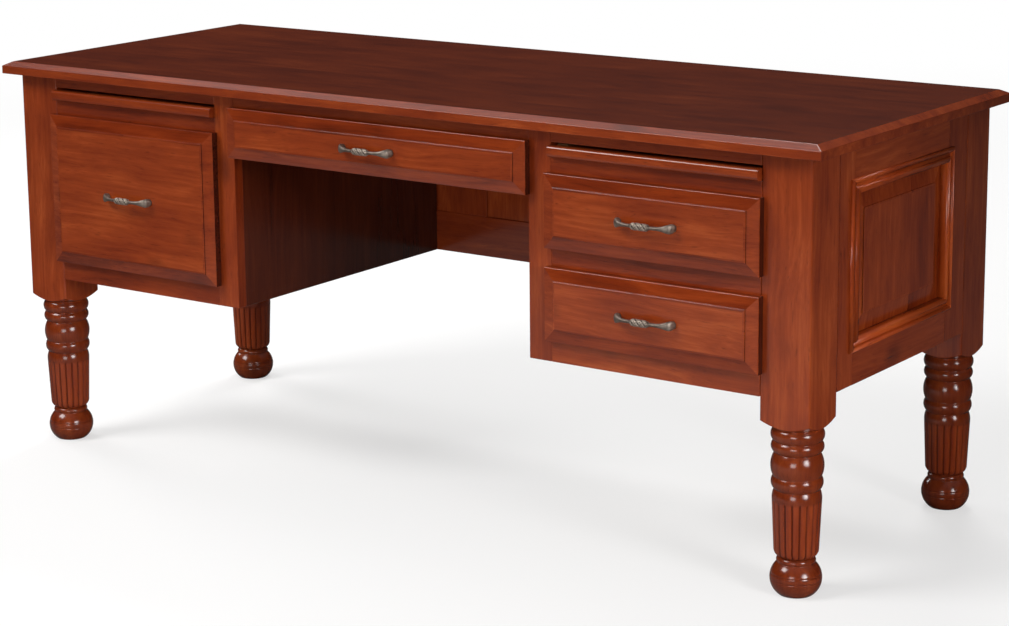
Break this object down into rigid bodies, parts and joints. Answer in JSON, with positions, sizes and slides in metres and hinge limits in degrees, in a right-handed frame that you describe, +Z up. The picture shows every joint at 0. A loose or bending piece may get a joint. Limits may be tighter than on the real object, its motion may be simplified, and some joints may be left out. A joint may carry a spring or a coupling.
{
  "type": "writing desk",
  "caption": "Double-pedestal writing desk on turned, reeded legs, with a kneehole, raised-panel drawers on telescopic slides, bow pulls and pull-out writing boards.",
  "frame": {"origin": "on the floor, under the middle of the overall box", "axes": "+X to the desk's right as seen from its front, -Y out of the drawer fronts, +Z up"},
  "size_m": [1.829, 0.734, 0.775],
  "materials": {
    "cherry": "gloss",
    "inside_wood": "satin",
    "pewter": "satin",
    "steel": "satin"
  },
  "bodies": {
    "carcass": {"back_frame": "cherry", "back_left_leg": "cherry", "back_mouldings": "cherry", "back_panels": "cherry", "back_right_leg": "cherry", "board_guides": "inside_wood", "desk_top": "cherry", "front_left_leg": "cherry", "front_right_leg": "cherry", "kneehole_rail": "cherry", "left_front_rails": "cherry", "left_inner_board": "cherry", "left_inner_stile": "cherry", "left_side_frame": "cherry", "left_side_moulding": "cherry", "left_side_panel": "cherry", "pedestal_bottoms": "inside_wood", "right_front_rails": "cherry", "right_inner_board": "cherry", "right_inner_stile": "cherry", "right_side_frame": "cherry", "right_side_moulding": "cherry", "right_side_panel": "cherry", "slide_channels": "steel", "slide_cleats": "inside_wood", "top_screws": "steel"},
    "upper_drawer": {"upper_drawer_front": "cherry", "upper_drawer_box": "inside_wood", "upper_drawer_bottom": "inside_wood", "upper_drawer_pull": "pewter", "upper_drawer_pull_screws": "steel", "upper_drawer_runners": "steel"},
    "upper_drawer_slides": {"upper_drawer_slide_middles": "steel"},
    "lower_drawer": {"lower_drawer_front": "cherry", "lower_drawer_box": "inside_wood", "lower_drawer_bottom": "inside_wood", "lower_drawer_pull": "pewter", "lower_drawer_pull_screws": "steel", "lower_drawer_runners": "steel"},
    "lower_drawer_slides": {"lower_drawer_slide_middles": "steel"},
    "file_drawer": {"file_drawer_front": "cherry", "file_drawer_box": "inside_wood", "file_drawer_bottom": "inside_wood", "file_drawer_pull": "pewter", "file_drawer_pull_screws": "steel", "file_drawer_runners": "steel", "file_hanger_rails": "steel"},
    "file_drawer_slides": {"file_drawer_slide_middles": "steel"},
    "centre_drawer": {"centre_drawer_front": "cherry", "centre_drawer_box": "inside_wood", "centre_drawer_bottom": "inside_wood", "centre_drawer_pull": "pewter", "centre_drawer_pull_screws": "steel", "centre_drawer_runners": "steel"},
    "centre_drawer_slides": {"centre_drawer_slide_middles": "steel"},
    "left_board": {"left_writing_board": "cherry", "left_board_edge": "cherry"},
    "right_board": {"right_writing_board": "cherry", "right_board_edge": "cherry"}
  },
  "joints": [
    {"name": "upper_drawer_slide", "type": "slide", "parent": "carcass", "child": "upper_drawer", "axis": [0, -1, 0], "range_m": [0, 0.5]},
    {"name": "upper_drawer_middle_slide", "type": "slide", "parent": "carcass", "child": "upper_drawer_slides", "axis": [0, -1, 0], "range_m": [0, 0.25]},
    {"name": "lower_drawer_slide", "type": "slide", "parent": "carcass", "child": "lower_drawer", "axis": [0, -1, 0], "range_m": [0, 0.5]},
    {"name": "lower_drawer_middle_slide", "type": "slide", "parent": "carcass", "child": "lower_drawer_slides", "axis": [0, -1, 0], "range_m": [0, 0.25]},
    {"name": "file_drawer_slide", "type": "slide", "parent": "carcass", "child": "file_drawer", "axis": [0, -1, 0], "range_m": [0, 0.5]},
    {"name": "file_drawer_middle_slide", "type": "slide", "parent": "carcass", "child": "file_drawer_slides", "axis": [0, -1, 0], "range_m": [0, 0.25]},
    {"name": "centre_drawer_slide", "type": "slide", "parent": "carcass", "child": "centre_drawer", "axis": [0, -1, 0], "range_m": [0, 0.4]},
    {"name": "centre_drawer_middle_slide", "type": "slide", "parent": "carcass", "child": "centre_drawer_slides", "axis": [0, -1, 0], "range_m": [0, 0.2]},
    {"name": "left_board_slide", "type": "slide", "parent": "carcass", "child": "left_board", "axis": [0, -1, 0], "range_m": [0, 0.35]},
    {"name": "right_board_slide", "type": "slide", "parent": "carcass", "child": "right_board", "axis": [0, -1, 0], "range_m": [0, 0.35]}
  ],
  "couplings": [
    {"joint": "upper_drawer_middle_slide", "follows": "upper_drawer_slide", "ratio": 0.5},
    {"joint": "lower_drawer_middle_slide", "follows": "lower_drawer_slide", "ratio": 0.5},
    {"joint": "file_drawer_middle_slide", "follows": "file_drawer_slide", "ratio": 0.5},
    {"joint": "centre_drawer_middle_slide", "follows": "centre_drawer_slide", "ratio": 0.5}
  ]
}
